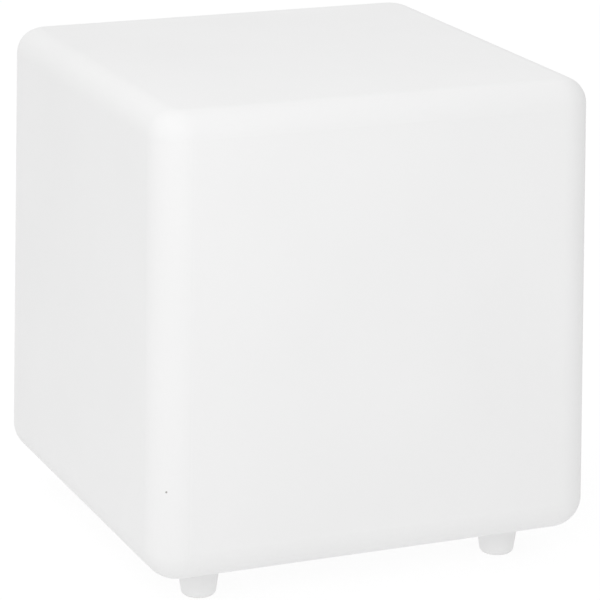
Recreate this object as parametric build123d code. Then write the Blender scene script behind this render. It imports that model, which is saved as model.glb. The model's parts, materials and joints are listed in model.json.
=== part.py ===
from build123d import *
import math
import os

# A cube-shaped garden light on four feet, with a sealed light module let into its underside.
# Origin: on the ground, below the middle of the cube. +Z is up and -Y is the front.
# Lengths are in millimetres and angles in degrees.

# ---- Driving dimensions: the cube ----
cube_width = 400.0            # across the flat sides at the underside
cube_height = 394.0           # from the underside to the top face
draft_angle = 1.0             # inward lean of each side
wall = 3.5                    # moulded wall
side_edge_radius = 29.5       # the four upright edges
top_edge_step = 7.5           # how much smaller the radius of the top edges is
bottom_edge_step = 2.5        # how much smaller the radius of the bottom edges is

# ---- Driving dimensions: the feet ----
foot_height = 31.5
foot_inset = 61.0             # from two sides of the cube to the middle of a foot
foot_root_radius = 18.9
foot_tip_radius = 14.3
foot_tip_rounding = 4.3
foot_root_fillet = 2.0

# ---- Driving dimensions: the seat for the base cover ----
seat_depth = 8.0              # from the underside up to the seat
seat_rim_rounding = 2.0
flange_screw_count = 6
insert_radius = 3.75
insert_length = 9.0
insert_boss_radius = 7.0
insert_hole_room = 1.0        # left in the boss above the insert and the screw
flange_gasket_thickness = 2.0
cover_thickness = 5.0
cover_edge_chamfer = 0.8

# ---- Driving dimensions: the module housing ----
housing_inner_radius = 54.5
housing_wall = 2.5
housing_rim_width = 3.0       # how far the rim stands out from the wall
housing_rim_height = 4.0
housing_boss_radius = 4.5
housing_boss_height = 14.0
housing_boss_land = 2.0       # from a boss to the housing's wall
housing_roof = 4.0
roof_skin = 1.0               # left of the roof under a lamp board screw
groove_width = 2.4
groove_depth = 1.2

# ---- Driving dimensions: the charging port ----
port_y = -18.0                # middle of the port, towards the front
port_well_radius = 6.0
port_well_depth = 11.0        # from the cover's underside up to the jack's seal
port_well_wall = 2.0
port_ceiling = 1.2            # the well's end wall, which carries the seal
jack_width = 9.0
jack_height = 9.7
jack_bore_radius = 3.2
jack_floor = 1.5
jack_pin_radius = 1.0
jack_pin_setback = 1.5
jack_seal_thickness = 0.8
flap_thickness = 2.0
flap_width = 17.0
flap_corner_radius = 2.0
flap_overlap = 2.5            # how far the flap covers the cover beyond the well
flap_plug_height = 2.3
flap_plug_wall = 1.2
flap_hinge_land = 3.0         # from the well to the hinge line
anchor_length = 5.4
anchor_width = 14.0
anchor_stem_radius = 1.5
anchor_head_radius = 2.4
anchor_head_height = 1.5
anchor_chamfer = 0.6

# ---- Driving dimensions: the buttons ----
button_spacing = 32.0
button_y = 12.0
button_radius = 6.0
button_proud = 0.8            # how far a button stands out of the cover
button_cap_height = 3.3
button_stem_radius = 4.03
button_travel = 1.0
button_rounding = 0.6
button_dish_depth = 0.5
button_dish_radius = 4.2
collar_wall = 1.9
seal_section_radius = 0.75
clip_thickness = 0.8
clip_width = 2.6
clip_groove_depth = 1.2
clip_opening = 3.4
clip_end = 0.8                # stem left above the clip
switch_size = 6.0
switch_height = 3.5
switch_tip_radius = 1.75
switch_tip_length = 1.5

# ---- Driving dimensions: the control board and what is on it ----
board_length = 74.0
board_width = 58.0
board_thickness = 1.6
board_corner_radius = 3.0
board_screw_inset = 5.0       # from the board's edges to its screws
standoff_radius = 3.2
indicator_length = 3.5
indicator_width = 2.8
indicator_height = 1.8
indicator_y = 14.0
pipe_radius = 1.5
pipe_flange_radius = 2.3
pipe_flange_thickness = 1.0
chip_length = 10.0
chip_width = 7.5
chip_height = 2.3
chip_x = -16.0
chip_y = 8.0
capacitor_radius = 4.0
capacitor_height = 9.0
capacitor_x = 20.0
capacitor_y = -14.0
inductor_size = 8.0
inductor_height = 5.0
inductor_x = -20.0
inductor_y = -14.0
connector_length = 10.0
connector_width = 6.0
connector_height = 7.0
lead_radius = 0.75
lead_spacing = 2.6

# ---- Driving dimensions: the battery ----
cell_radius = 9.2
cell_length = 65.0
cell_nub_radius = 3.0
cell_nub_height = 0.8
cell_edge_rounding = 0.8
cell_count = 2
holder_wall = 2.0
holder_side_wall = 1.6
holder_depth = 15.0
holder_ear_width = 8.0
holder_ear_reach = 8.2
contact_thickness = 0.5
contact_height = 12.0
contact_tail_width = 3.0
contact_tail_length = 8.0
battery_lead_shift = 3.4      # sideways step of each battery lead on its way down
clamp_thickness = 2.5
clamp_width = 8.0

# ---- Driving dimensions: the lamp on the housing's roof ----
heat_sink_thickness = 3.0
lamp_board_radius = 29.0
lamp_board_screw_inset = 4.0
lamp_board_screw_count = 3
diode_size = 5.0
diode_height = 1.6
outer_diode_count = 9
outer_diode_radius = 17.0
inner_diode_count = 4
inner_diode_radius = 9.0
receiver_length = 6.0
receiver_width = 5.0
receiver_height = 5.0
dome_gap = 3.0                # from the heat sink to the dome's wall
dome_screw_land = 2.9         # from the dome's gasket to its screws
dome_wall = 2.0
dome_height = 32.0            # from the roof to the top of the dome
dome_flange_thickness = 2.5
dome_screw_count = 4
dome_boss_radius = 4.0
dome_boss_height = 10.0
dome_boss_land = 0.5
lead_rise = 4.4               # height of the leads' bow above the lamp board
lead_reach = 5.0              # from the lead hole back to the lamp board's pads
lead_slack = 6.0              # sideways step of the leads between the board and the roof
grommet_radius = 2.6
grommet_lip = 1.0
grommet_lip_thickness = 1.0

# ---- Driving dimensions: the vent ----
vent_x = 26.0
vent_y = -8.0
vent_head_radius = 5.0
vent_head_height = 1.4
vent_shank_radius = 3.0
vent_barb = 0.6
vent_barb_height = 1.2

# ---- Driving dimensions: the screws ----
flange_screw_radius = 2.0
flange_screw_head_radius = 4.0
flange_screw_head_height = 2.6
flange_screw_length = 12.0
case_screw_radius = 1.5
case_screw_head_radius = 2.8
case_screw_head_height = 1.8
case_screw_length = 10.0
cross_width = 0.9
cross_share = 1.3             # length of the driver's cross over the head's radius
cross_depth = 1.0

# ---- Clearances ----
slide_fit = 0.07              # radial, round what slides
seal_fit = 0.05               # radial, round rings and moulded-in pieces
screw_fit = 0.1               # radial, round a screw in its thread
screw_passage = 0.3           # radial, round a screw in a plain hole
head_gap = 0.2                # between a sunk screw head and the surface
side_gap = 0.3                # round loose pieces
stop_gap = 0.1                # under a button's clip
opening_gap = 2.0             # round the housing's rim in the cube's opening
boss_land = 0.5               # from the opening's edge to a boss
recess_land = 1.0             # from a boss to the recess's side
cover_gap = 1.5               # round the cover's edge
gasket_margin = 0.5
contact_gap = 0.2             # between a cell's end and its contact
cell_air_gap = 3.7            # from the tallest piece on the board to the cells
well_gap = 0.6                # round the flap's plug
hinge_gap = 0.3               # between the flap and its anchor

# ---- The cube's other sizes, and the heights, worked out from them ----
top_edge_radius = side_edge_radius - top_edge_step
bottom_edge_radius = side_edge_radius - bottom_edge_step
foot_spacing = cube_width - 2 * foot_inset
underside = foot_height
seat_level = underside + seat_depth
cover_top = seat_level - flange_gasket_thickness
cover_bottom = cover_top - cover_thickness
port_well_top = cover_bottom + port_well_depth
jack_bottom = port_well_top + jack_seal_thickness
board_bottom = jack_bottom + jack_height
board_top = board_bottom + board_thickness
switch_tip = board_bottom - switch_height - switch_tip_length
button_top = switch_tip - side_gap - button_travel
clip_bottom = button_top - clip_end - clip_thickness
collar_top = clip_bottom - stop_gap
cell_bottom = board_top + capacitor_height + cell_air_gap
cell_level = cell_bottom + cell_radius
roof_bottom = cell_level + cell_radius + side_gap + holder_wall
roof_top = roof_bottom + housing_roof
heat_sink_top = roof_top + heat_sink_thickness
lamp_board_top = heat_sink_top + board_thickness

# ---- Radii worked out from them ----
housing_radius = housing_inner_radius + housing_wall
rim_radius = housing_radius + housing_rim_width
opening_radius = rim_radius + opening_gap
insert_circle = opening_radius + boss_land + insert_boss_radius
recess_radius = insert_circle + insert_boss_radius + recess_land
cover_radius = recess_radius - cover_gap
housing_screw_circle = housing_inner_radius - housing_boss_land - housing_boss_radius
dome_screw_circle = housing_inner_radius - dome_boss_land - dome_boss_radius
dome_groove_radius = dome_screw_circle - case_screw_radius - dome_screw_land - groove_width / 2
dome_radius = dome_groove_radius - groove_width
dome_inner_radius = dome_radius - dome_wall
heat_sink_radius = dome_inner_radius - dome_gap
flap_hinge_y = port_y - port_well_radius - flap_hinge_land
flap_hinge_z = cover_bottom + flap_thickness / 2

# ---- The battery's places across the housing, worked out from them ----
cell_pitch = 2 * cell_radius + side_gap
holder_half_width = cell_pitch * (cell_count - 1) / 2 + cell_radius + side_gap + holder_side_wall
contact_face = (cell_length + cell_nub_height) / 2 + contact_gap
lead_hole_x = holder_ear_width / 2 + grommet_radius + grommet_lip + gasket_margin
lead_hole_y = holder_half_width + grommet_radius + grommet_lip + gasket_margin
connector_x = lead_hole_x
connector_y = lead_hole_y - lead_slack

STANDING = (Align.CENTER, Align.CENTER, Align.MIN)
ARC_SHARE = 0.45              # of a wire's shorter run that an arc may take up
MATCH = 0.01                  # how closely an edge fits the size it is looked up by
QUARTER_TURN = 90.0
FULL_TURN = 360.0


# ---- Plain shapes ----
def disc(radius, low, high, x=0.0, y=0.0):
    """An upright cylinder between two heights."""
    return Pos(x, y, low) * Cylinder(radius, high - low, align=STANDING)


def ring(outer, inner, low, high, x=0.0, y=0.0):
    """An upright tube between two heights."""
    return disc(outer, low, high, x, y) - disc(inner, low, high, x, y)


def block(size_x, size_y, low, high, x=0.0, y=0.0):
    """An upright box between two heights."""
    return Pos(x, y, low) * Box(size_x, size_y, high - low, align=STANDING)


def turned(radius, angle):
    """The point at a radius and an angle from the +X direction."""
    return (radius * math.cos(math.radians(angle)), radius * math.sin(math.radians(angle)))


def circle_points(radius, count, first=0.0):
    """Evenly spaced points on a circle."""
    return [turned(radius, first + FULL_TURN / count * step) for step in range(count)]


def screw(radius, length, head_radius, head_height):
    """A pan-head screw that points up, with the underside of its head at the origin."""
    shank = disc(radius, 0, length)
    shank = chamfer(shank.edges().sort_by(Axis.Z)[-1], radius / 4)
    head = disc(head_radius, -head_height, 0)
    head = fillet(head.edges().sort_by(Axis.Z)[0], head_height / 3)
    arm = cross_share * head_radius
    cross = block(arm, cross_width, -head_height, cross_depth - head_height)
    cross += block(cross_width, arm, -head_height, cross_depth - head_height)
    return shank + head - cross


def case_screw(length=case_screw_length):
    """The small screw that holds the housing, the boards, the dome and the battery."""
    return screw(case_screw_radius, length, case_screw_head_radius, case_screw_head_height)


def bent_lead(points):
    """A round wire along straight runs joined by arcs as large as the runs allow."""
    corners = [Vector(*point) for point in points]
    radii = []
    for before, corner, after in zip(corners, corners[1:], corners[2:]):
        turn = (corner - before).get_angle(after - corner)
        shorter = min((corner - before).length, (after - corner).length)
        radii.append(ARC_SHARE * shorter / math.tan(math.radians(turn / 2)))
    path = FilletPolyline(*corners, radius=radii)
    section = Plane(origin=path @ 0, z_dir=path % 0) * Circle(lead_radius)
    return sweep(section, path=path)


# ---- The cube ----
def rounded_block(width, height, upright_radius, top_radius, bottom_radius, low):
    """A square block whose sides lean inwards, with all its edges rounded."""
    body = Pos(0, 0, low) * extrude(Rectangle(width, width), height, taper=draft_angle)
    level = body.edges().filter_by(Plane.XY)
    uprights = [edge for edge in body.edges() if edge not in level]
    body = fillet(uprights, upright_radius)
    body = fillet(body.faces().sort_by(Axis.Z)[-1].edges(), top_radius)
    return fillet(body.faces().sort_by(Axis.Z)[0].edges(), bottom_radius)


def foot_centres():
    """The middles of the four feet."""
    half = foot_spacing / 2
    return [(x, y) for x in (-half, half) for y in (-half, half)]


def add_feet(body):
    """The block with its four tapered feet, rounded where they meet it and at their tips."""
    for x, y in foot_centres():
        foot = Pos(x, y, 0) * Cone(foot_tip_radius, foot_root_radius, foot_height, align=STANDING)
        foot = fillet(foot.edges().sort_by(Axis.Z)[0], foot_tip_rounding)
        body = body + foot
    roots = [edge for edge in body.edges().filter_by(GeomType.CIRCLE)
             if abs(edge.radius - foot_root_radius) < MATCH
             and abs(edge.center().Z - underside) < MATCH]
    return fillet(roots, foot_root_fillet)


def foot_hollow(x, y):
    """The hollow of one foot, which opens into the cube."""
    lean = (foot_root_radius - foot_tip_radius) / foot_height
    tip = foot_tip_radius + lean * wall - wall
    mouth = tip + lean * foot_height
    hollow = Pos(x, y, wall) * Cone(tip, mouth, foot_height, align=STANDING)
    return fillet(hollow.edges().sort_by(Axis.Z)[0], max(foot_tip_rounding - wall, wall / 4))


def insert_hole_top():
    """The blind end of the hole for an insert and its screw."""
    screw_tip = cover_bottom + head_gap + flange_screw_head_height + flange_screw_length
    return max(seat_level + insert_length, screw_tip) + insert_hole_room


def make_shell():
    """The hollow cube with its feet, and the seat and bosses for the base cover."""
    lean = math.tan(math.radians(draft_angle))
    side_wall = wall / math.cos(math.radians(draft_angle))
    inner_width = cube_width - 2 * lean * wall - 2 * side_wall
    body = rounded_block(cube_width, cube_height, side_edge_radius,
                         top_edge_radius, bottom_edge_radius, underside)
    body = add_feet(body)
    hollow = rounded_block(inner_width, cube_height - 2 * wall, side_edge_radius - wall,
                           top_edge_radius - wall, bottom_edge_radius - wall, underside + wall)
    for x, y in foot_centres():
        hollow += foot_hollow(x, y)
    hollow -= disc(recess_radius + wall, underside, seat_level + wall)
    for x, y in circle_points(insert_circle, flange_screw_count):
        hollow -= disc(insert_boss_radius, seat_level, insert_hole_top() + wall, x, y)
    shell = body - hollow
    shell -= disc(recess_radius, underside, seat_level)
    shell -= disc(opening_radius, seat_level, seat_level + wall)
    for x, y in circle_points(insert_circle, flange_screw_count):
        shell -= disc(insert_radius + seal_fit, seat_level, insert_hole_top(), x, y)
    rim = [edge for edge in shell.edges().filter_by(GeomType.CIRCLE)
           if abs(edge.radius - recess_radius) < MATCH
           and abs(edge.center().Z - underside) < MATCH]
    return fillet(rim, seat_rim_rounding)


def make_inserts():
    """One threaded insert in each of the shell's bosses."""
    inserts = []
    for x, y in circle_points(insert_circle, flange_screw_count):
        top = seat_level + insert_length
        inserts.append(ring(insert_radius, flange_screw_radius + screw_fit, seat_level, top, x, y))
    return inserts


# ---- The base cover and what seals it ----
def make_flange_gasket():
    """The flat ring between the seat and the base cover."""
    gasket = ring(cover_radius - gasket_margin, opening_radius + boss_land, cover_top, seat_level)
    for x, y in circle_points(insert_circle, flange_screw_count):
        gasket -= disc(flange_screw_radius + screw_passage, cover_top, seat_level, x, y)
    return gasket


def sunk_hole(x, y, radius, head_radius, head_height):
    """A plain hole through the base cover with a sunk seat for a screw head."""
    seat = cover_bottom + head_gap + head_height
    hole = disc(radius + screw_passage, cover_bottom, cover_top, x, y)
    return hole + disc(head_radius + screw_passage, cover_bottom, seat, x, y)


def button_places():
    """The middles of the two buttons."""
    return [(-button_spacing / 2, button_y), (button_spacing / 2, button_y)]


def board_screw_places():
    """The four screws of the control board."""
    x = board_length / 2 - board_screw_inset
    y = board_width / 2 - board_screw_inset
    return [(side_x * x, side_y * y) for side_x in (-1, 1) for side_y in (-1, 1)]


def flap_recess():
    """The shallow recess in the cover's underside for the flap and its anchor."""
    front = flap_hinge_y - flap_thickness / 2 - hinge_gap - anchor_length - side_gap
    back = port_y + port_well_radius + flap_overlap + side_gap
    recess = block(flap_width + 2 * side_gap, back - front, cover_bottom,
                   cover_bottom + flap_thickness + side_gap, 0, (front + back) / 2)
    return fillet(recess.edges().filter_by(Axis.Z), flap_corner_radius + side_gap)


def make_base_cover():
    """The round cover with its port well, button guides and board standoffs."""
    cover = disc(cover_radius, cover_bottom, cover_top)
    cover = chamfer(cover.edges().sort_by(Axis.Z)[0], cover_edge_chamfer)
    well_wall = port_well_radius + port_well_wall
    cover += disc(well_wall, cover_bottom, port_well_top, 0, port_y)
    for x, y in button_places():
        guide = button_stem_radius + slide_fit + collar_wall
        cover += disc(guide, cover_bottom, collar_top, x, y)
    for x, y in board_screw_places():
        cover += disc(standoff_radius, cover_bottom, board_bottom, x, y)
    cover -= flap_recess()
    cover -= disc(port_well_radius, cover_bottom, port_well_top - port_ceiling, 0, port_y)
    cover -= disc(jack_bore_radius + side_gap, cover_bottom, port_well_top, 0, port_y)
    for x, y in button_places():
        cap_top = cover_bottom - button_proud + button_cap_height
        cover -= disc(button_radius + side_gap, cover_bottom,
                      cap_top + button_travel + side_gap, x, y)
        cover -= disc(button_stem_radius + slide_fit, cover_bottom, collar_top, x, y)
    for x, y in board_screw_places():
        depth = case_screw_length - board_thickness
        cover -= disc(case_screw_radius + screw_fit, board_bottom - depth - side_gap,
                      board_bottom, x, y)
    for x, y in circle_points(insert_circle, flange_screw_count):
        cover -= sunk_hole(x, y, flange_screw_radius, flange_screw_head_radius,
                           flange_screw_head_height)
    for x, y in circle_points(housing_screw_circle, 4):
        cover -= sunk_hole(x, y, case_screw_radius, case_screw_head_radius,
                           case_screw_head_height)
    cover -= disc(pipe_radius + seal_fit, cover_bottom, cover_top, 0, indicator_y)
    cover -= disc(anchor_stem_radius + seal_fit, cover_bottom, cover_top, 0, anchor_y())
    cover -= disc(vent_shank_radius + seal_fit, cover_bottom, cover_top, vent_x, vent_y)
    return cover - disc(vent_head_radius + side_gap, cover_bottom,
                        cover_bottom + vent_head_height + head_gap, vent_x, vent_y)


def make_flange_screws():
    """The screws from the base cover into the inserts."""
    one = screw(flange_screw_radius, flange_screw_length,
                flange_screw_head_radius, flange_screw_head_height)
    level = cover_bottom + head_gap + flange_screw_head_height
    return [Pos(x, y, level) * one for x, y in circle_points(insert_circle, flange_screw_count)]


def make_vent():
    """The breather plug that is pushed through the cover."""
    head_bottom = cover_bottom + head_gap
    head_top = head_bottom + vent_head_height
    plug = disc(vent_head_radius, head_bottom, head_top, vent_x, vent_y)
    plug = fillet(plug.edges().sort_by(Axis.Z)[0], vent_head_height / 3)
    plug += disc(vent_shank_radius, head_bottom, cover_top + vent_barb_height, vent_x, vent_y)
    barb = Cone(vent_shank_radius + vent_barb, vent_shank_radius, vent_barb_height, align=STANDING)
    return plug + Pos(vent_x, vent_y, cover_top) * barb


# ---- The module housing ----
def rim_groove_radius():
    """The middle of the gasket groove in the housing's rim."""
    return (housing_inner_radius + rim_radius) / 2


def make_groove_gasket(middle, low):
    """A square-section ring that fills a groove."""
    half = groove_width / 2 - seal_fit
    return ring(middle + half, middle - half, low, low + groove_depth)


def wall_boss(radius, circle, angle, low, high):
    """A screw boss on the housing's wall, with the web that joins it to the wall."""
    x, y = turned(circle, angle)
    boss = disc(radius, low, high, x, y)
    web = Box(housing_inner_radius - circle + housing_wall / 2, radius, high - low,
              align=(Align.MIN, Align.CENTER, Align.MIN))
    return boss + Pos(x, y, low) * Rot(0, 0, angle) * web


def make_housing():
    """The cup over the electronics, with its rim, roof and screw bosses."""
    cup = disc(housing_radius, cover_top, roof_top)
    cup = fillet(cup.edges().sort_by(Axis.Z)[-1], housing_wall / 2)
    cup += disc(rim_radius, cover_top, cover_top + housing_rim_height)
    cup -= disc(housing_inner_radius, cover_top, roof_bottom)
    for step in range(4):
        angle = QUARTER_TURN * step
        cup += wall_boss(housing_boss_radius, housing_screw_circle, angle,
                         cover_top, cover_top + housing_boss_height)
    for step in range(dome_screw_count):
        angle = QUARTER_TURN / 2 + FULL_TURN / dome_screw_count * step
        cup += wall_boss(dome_boss_radius, dome_screw_circle, angle,
                         roof_bottom - dome_boss_height, roof_bottom)
    half = groove_width / 2
    middle = rim_groove_radius()
    cup -= ring(middle + half, middle - half, cover_top, cover_top + groove_depth)
    middle = dome_groove_radius
    cup -= ring(middle + half, middle - half, roof_top - groove_depth, roof_top)
    for x, y in circle_points(housing_screw_circle, 4):
        depth = case_screw_length + head_gap
        cup -= disc(case_screw_radius + screw_fit, cover_top, cover_top + depth, x, y)
    for x, y in dome_screw_places():
        depth = case_screw_length - dome_flange_thickness + side_gap
        cup -= disc(case_screw_radius + screw_fit, roof_top - depth, roof_top, x, y)
    for x, y in lamp_screw_places():
        cup -= disc(case_screw_radius + screw_fit, roof_top - lamp_screw_bite() - side_gap,
                    roof_top, x, y)
    for x, y in ear_places():
        cup -= disc(case_screw_radius + screw_passage, roof_bottom, roof_top, x, y)
        cup -= disc(case_screw_head_radius + screw_passage,
                    roof_top - case_screw_head_height - head_gap, roof_top, x, y)
    return cup - disc(grommet_radius, roof_bottom, roof_top, lead_hole_x, lead_hole_y)


def make_housing_screws():
    """The screws from the base cover into the housing's bosses."""
    level = cover_bottom + head_gap + case_screw_head_height
    return [Pos(x, y, level) * case_screw() for x, y in circle_points(housing_screw_circle, 4)]


# ---- The lamp ----
def dome_screw_places():
    """The screws of the dome, between the screws of the housing."""
    return circle_points(dome_screw_circle, dome_screw_count, QUARTER_TURN / 2)


def lamp_screw_places():
    """The screws of the lamp board."""
    return circle_points(lamp_board_radius - lamp_board_screw_inset, lamp_board_screw_count)


def lamp_screw_bite():
    """How far a lamp board screw goes into the roof."""
    return housing_roof - roof_skin


def make_lamp_plate(radius, low, high):
    """A round plate with the lamp board's screw holes and a notch round the leads' grommet."""
    plate = disc(radius, low, high)
    for x, y in lamp_screw_places():
        plate -= disc(case_screw_radius + screw_passage, low, high, x, y)
    notch_radius = grommet_radius + grommet_lip + side_gap
    plate -= disc(notch_radius, low, high, lead_hole_x, lead_hole_y)
    return plate - block(2 * notch_radius, radius, low, high, lead_hole_x, lead_hole_y + radius / 2)


def make_diodes():
    """Two rings of square diodes, each turned towards the middle."""
    diodes = []
    places = [(outer_diode_radius, outer_diode_count, 0.0)]
    places.append((inner_diode_radius, inner_diode_count, QUARTER_TURN / 2))
    for radius, count, first in places:
        for step in range(count):
            angle = first + FULL_TURN / count * step
            x, y = turned(radius, angle)
            diode = block(diode_size, diode_size, 0, diode_height)
            diodes.append(Pos(x, y, lamp_board_top) * Rot(0, 0, angle) * diode)
    return diodes


def make_lamp_screws():
    """The screws through the lamp board and the heat sink into the roof."""
    length = board_thickness + heat_sink_thickness + lamp_screw_bite()
    one = Rot(180, 0, 0) * case_screw(length)
    return [Pos(x, y, lamp_board_top) * one for x, y in lamp_screw_places()]


def make_receiver():
    """The remote control's receiver, with its round lens on top."""
    body = block(receiver_length, receiver_width, lamp_board_top, lamp_board_top + receiver_height)
    body = fillet(body.edges().filter_by(Axis.Z), receiver_width / 8)
    lens = Sphere(receiver_width / 2.5)
    return body + Pos(0, 0, lamp_board_top + receiver_height) * lens


def dome_cap(radius, height):
    """A round cap of a sphere above the roof, from its rim's radius and its height."""
    sphere_radius = (radius ** 2 + height ** 2) / (2 * height)
    ball = Pos(0, 0, roof_top + height - sphere_radius) * Sphere(sphere_radius)
    return ball & disc(radius, roof_top, roof_top + height)


def make_dome():
    """The clear dome over the diodes, with its screwed flange."""
    dome = dome_cap(dome_radius, dome_height)
    dome += disc(housing_radius - boss_land, roof_top, roof_top + dome_flange_thickness)
    dome -= dome_cap(dome_inner_radius, dome_height - dome_wall)
    for x, y in dome_screw_places():
        dome -= disc(case_screw_radius + screw_passage, roof_top,
                     roof_top + dome_flange_thickness, x, y)
    return dome


def make_dome_screws():
    """The screws through the dome's flange into the roof."""
    one = Rot(180, 0, 0) * case_screw()
    level = roof_top + dome_flange_thickness
    return [Pos(x, y, level) * one for x, y in dome_screw_places()]


# ---- The wires ----
def lead_places():
    """The sideways places of the two lamp leads."""
    return [lead_hole_x - lead_spacing / 2, lead_hole_x + lead_spacing / 2]


def make_grommet():
    """The rubber grommet in the roof, with one bore for each lead."""
    low = roof_bottom - grommet_lip_thickness
    high = roof_top + grommet_lip_thickness
    grommet = disc(grommet_radius, low, high, lead_hole_x, lead_hole_y)
    lip = grommet_radius + grommet_lip
    grommet += disc(lip, low, roof_bottom, lead_hole_x, lead_hole_y)
    grommet += disc(lip, roof_top, high, lead_hole_x, lead_hole_y)
    for x in lead_places():
        grommet -= disc(lead_radius + seal_fit, low, high, x, lead_hole_y)
    return grommet


def make_lamp_leads():
    """The two wires from the board's plug, through the roof, to the lamp board."""
    plug_top = board_top + connector_height
    step = lead_hole_y - connector_y
    bow = lamp_board_top + lead_rise
    pad_y = lead_hole_y - lead_reach
    leads = []
    for x in lead_places():
        points = [(x, connector_y, plug_top)]
        points.append((x, connector_y, plug_top + step))
        points.append((x, lead_hole_y, plug_top + 2 * step))
        points.append((x, lead_hole_y, bow))
        points.append((x, pad_y, bow))
        points.append((x, pad_y, lamp_board_top))
        leads.append(bent_lead(points))
    return leads


def make_battery_leads():
    """One wire from each battery contact down to the control board."""
    top = contact_tail_bottom()
    bend = (top - board_top) / 3
    leads = []
    for side in (-1, 1):
        outer = side * (contact_face + contact_thickness / 2)
        inner = outer - side * battery_lead_shift
        points = [(outer, 0, top), (outer, 0, top - bend)]
        points.append((inner, 0, board_top + bend))
        points.append((inner, 0, board_top))
        leads.append(bent_lead(points))
    return leads


# ---- The control board ----
def make_control_board():
    """The board that holds the charging and control circuits."""
    board = block(board_length, board_width, board_bottom, board_top)
    board = fillet(board.edges().filter_by(Axis.Z), board_corner_radius)
    for x, y in board_screw_places():
        board -= disc(case_screw_radius + screw_passage, board_bottom, board_top, x, y)
    return board


def make_board_screws():
    """The screws that hold the control board on its standoffs."""
    one = Rot(180, 0, 0) * case_screw()
    return [Pos(x, y, board_top) * one for x, y in board_screw_places()]


def make_controller_chip():
    """The controller on the board, with a dimple at its first pin."""
    top = board_top + chip_height
    chip = block(chip_length, chip_width, board_top, top, chip_x, chip_y)
    dimple_x = chip_x - chip_length / 3
    dimple_y = chip_y - chip_width / 4
    return chip - disc(chip_width / 12, top - chip_height / 6, top, dimple_x, dimple_y)


def make_capacitor():
    """The smoothing capacitor, standing on the board."""
    can = disc(capacitor_radius, board_top, board_top + capacitor_height, capacitor_x, capacitor_y)
    return fillet(can.edges().sort_by(Axis.Z)[-1], capacitor_radius / 8)


def make_inductor():
    """The square inductor of the charging circuit."""
    body = block(inductor_size, inductor_size, board_top, board_top + inductor_height,
                 inductor_x, inductor_y)
    return fillet(body.edges().filter_by(Axis.Z), inductor_size / 6)


def make_connector():
    """The plug and socket of the lamp leads."""
    body = block(connector_length, connector_width, board_top, board_top + connector_height,
                 connector_x, connector_y)
    return chamfer(body.faces().sort_by(Axis.Z)[-1].edges(), connector_width / 12)


def make_switches():
    """The tactile switches under the board, tips down."""
    switches = []
    for x, y in button_places():
        body = block(switch_size, switch_size, board_bottom - switch_height, board_bottom, x, y)
        tip = disc(switch_tip_radius, switch_tip, board_bottom - switch_height, x, y)
        switches.append(body + tip)
    return switches


def make_indicator():
    """The charging indicator's diode under the board."""
    return block(indicator_length, indicator_width, board_bottom - indicator_height,
                 board_bottom, 0, indicator_y)


def make_light_pipe():
    """The clear pipe from the indicator's diode to the cover's underside."""
    top = board_bottom - indicator_height - side_gap
    pipe = disc(pipe_radius, cover_bottom, top, 0, indicator_y)
    return pipe + disc(pipe_flange_radius, cover_top, cover_top + pipe_flange_thickness,
                       0, indicator_y)


# ---- The charging port ----
def make_jack():
    """The barrel socket under the board: its mouth faces down and a pin stands in its bore."""
    body = block(jack_width, jack_width, jack_bottom, board_bottom, 0, port_y)
    body -= disc(jack_bore_radius, jack_bottom, board_bottom - jack_floor, 0, port_y)
    return body + disc(jack_pin_radius, jack_bottom + jack_pin_setback, board_bottom, 0, port_y)


def make_jack_seal():
    """The rubber ring between the well and the socket."""
    return ring(jack_width / 2, jack_bore_radius + side_gap, port_well_top, jack_bottom, 0, port_y)


def make_flap():
    """The rubber flap, with its round hinge edge and the ring that plugs the well."""
    back = port_y + port_well_radius + flap_overlap
    plate_top = cover_bottom + flap_thickness
    plate = block(flap_width, back - flap_hinge_y, cover_bottom, plate_top,
                  0, (back + flap_hinge_y) / 2)
    far_corners = plate.edges().filter_by(Axis.Z).sort_by(Axis.Y)[-2:]
    plate = fillet(far_corners, flap_corner_radius)
    edge = Pos(0, flap_hinge_y, flap_hinge_z) * Rot(0, QUARTER_TURN, 0)
    plate += edge * Cylinder(flap_thickness / 2, flap_width)
    plug_radius = port_well_radius - well_gap
    return plate + ring(plug_radius, plug_radius - flap_plug_wall, plate_top,
                        plate_top + flap_plug_height, 0, port_y)


def anchor_y():
    """The middle of the flap's anchor."""
    return flap_hinge_y - flap_thickness / 2 - hinge_gap - anchor_length / 2


def make_anchor():
    """The fixed end of the flap: a tab with a stem pushed through the cover."""
    ceiling = cover_bottom + flap_thickness + side_gap
    tab = block(anchor_width, anchor_length, cover_bottom, ceiling, 0, anchor_y())
    near_edge = tab.edges().filter_by(Axis.X).group_by(Axis.Z)[0].sort_by(Axis.Y)[-1]
    tab = chamfer(near_edge, anchor_chamfer)
    tab += disc(anchor_stem_radius, cover_bottom + flap_thickness, cover_top, 0, anchor_y())
    return tab + disc(anchor_head_radius, cover_top, cover_top + anchor_head_height, 0, anchor_y())


# ---- The buttons ----
def seal_level():
    """The middle height of a button's seal, halfway up its guide."""
    return (cover_top + collar_top) / 2


def seal_middle_radius():
    """The radius of a seal's middle line: the seal fills the guide's bore."""
    return button_stem_radius + slide_fit - seal_fit - seal_section_radius


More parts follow.
